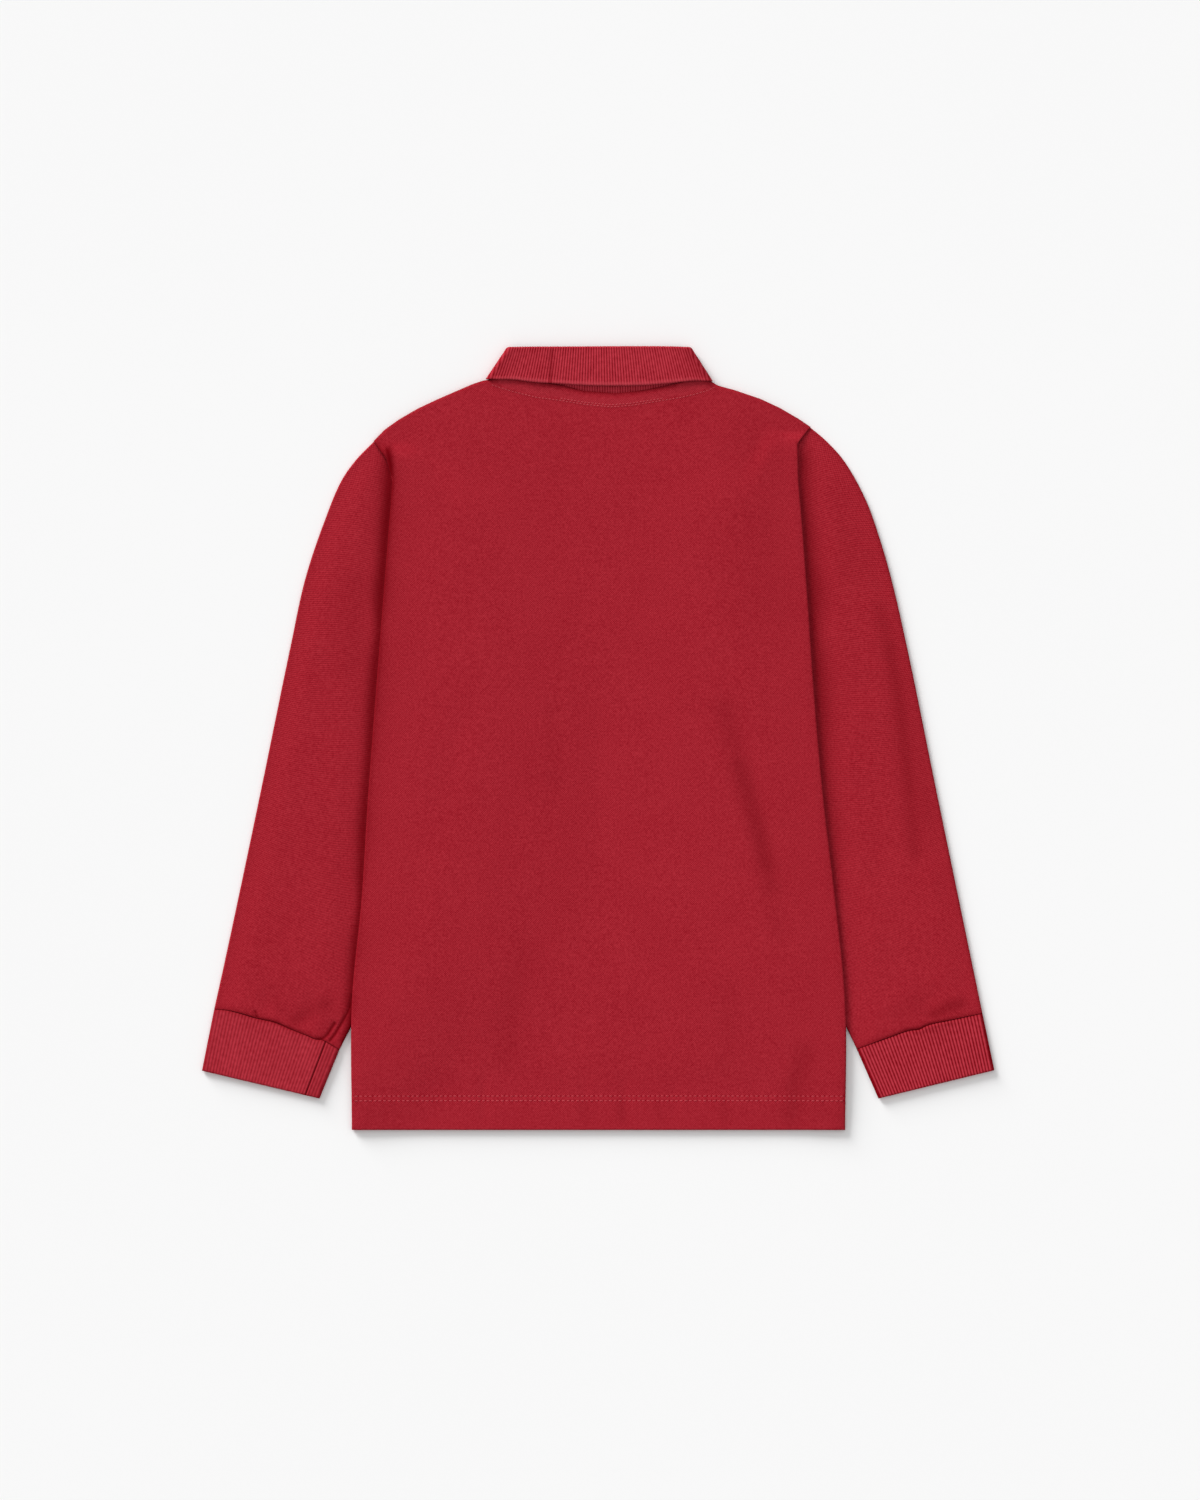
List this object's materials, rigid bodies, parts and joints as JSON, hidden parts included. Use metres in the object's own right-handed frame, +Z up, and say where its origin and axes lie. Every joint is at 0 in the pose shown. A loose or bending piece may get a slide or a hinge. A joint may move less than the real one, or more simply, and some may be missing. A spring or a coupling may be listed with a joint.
{
  "type": "polo shirt",
  "caption": "Child's long-sleeved polo shirt in pique knit with ribbed collar and cuffs, laid flat with its back up and its sleeves tucked under the sides of the body.",
  "frame": {"origin": "centre of the garment's bounding box, on the surface it lies on", "axes": "+X across the back towards the wearer's right sleeve, +Y from the hem towards the collar, +Z up from the surface, out of the back"},
  "size_m": [0.6162, 0.6104, 0.0081],
  "materials": {
    "pique": "matte red cotton pique knit",
    "rib": "matte red rib knit",
    "button": "satin dyed plastic"
  },
  "bodies": {
    "root": {"back_panel": "pique", "front_panel": "pique", "placket": "pique", "sleeve_left": "pique", "sleeve_right": "pique", "cuff_left": "rib", "cuff_right": "rib", "collar": "rib", "button_top": "button", "button_bottom": "button"}
  },
  "joints": []
}
